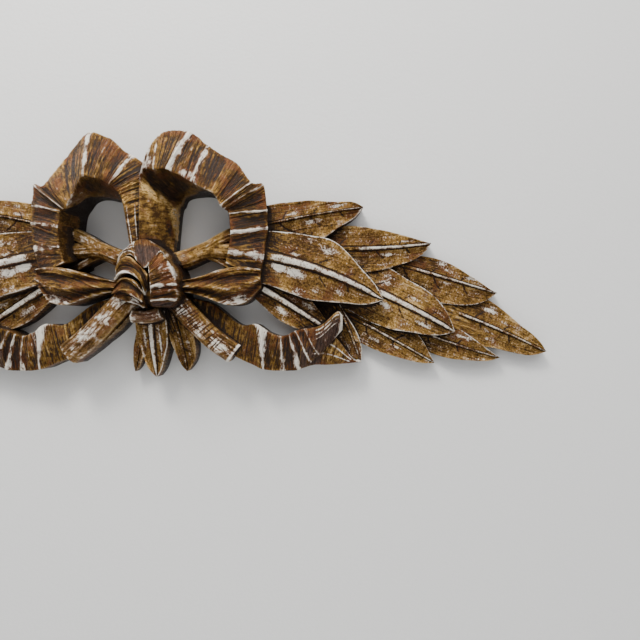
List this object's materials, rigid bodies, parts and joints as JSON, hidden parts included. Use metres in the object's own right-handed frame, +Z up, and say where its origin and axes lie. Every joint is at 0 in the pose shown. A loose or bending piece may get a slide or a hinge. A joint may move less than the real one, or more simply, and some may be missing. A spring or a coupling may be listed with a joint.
{
  "type": "carved wall ornament",
  "caption": "Long carved wall ornament: a knotted ribbon bow with loops, tails and sawn stem ends between laurel leaf sprays, in worn gilt wood with a flat back.",
  "frame": {"origin": "on the flat back behind the knot, midway between the two sprays", "axes": "+X to the right along the ornament, +Z up, +Y into the wall; the carving rises toward -Y"},
  "size_m": [0.7644, 0.0659, 0.2326],
  "materials": {
    "worn_gilt_wood": "hand-carved wood with worn water gilding over red-brown bole and white gesso: gold-brown blades, rubbed white crests and rims, dark brown grooves, dry satin sheen"
  },
  "bodies": {
    "root": {"bow_and_laurel_ornament": "worn_gilt_wood"}
  },
  "joints": []
}
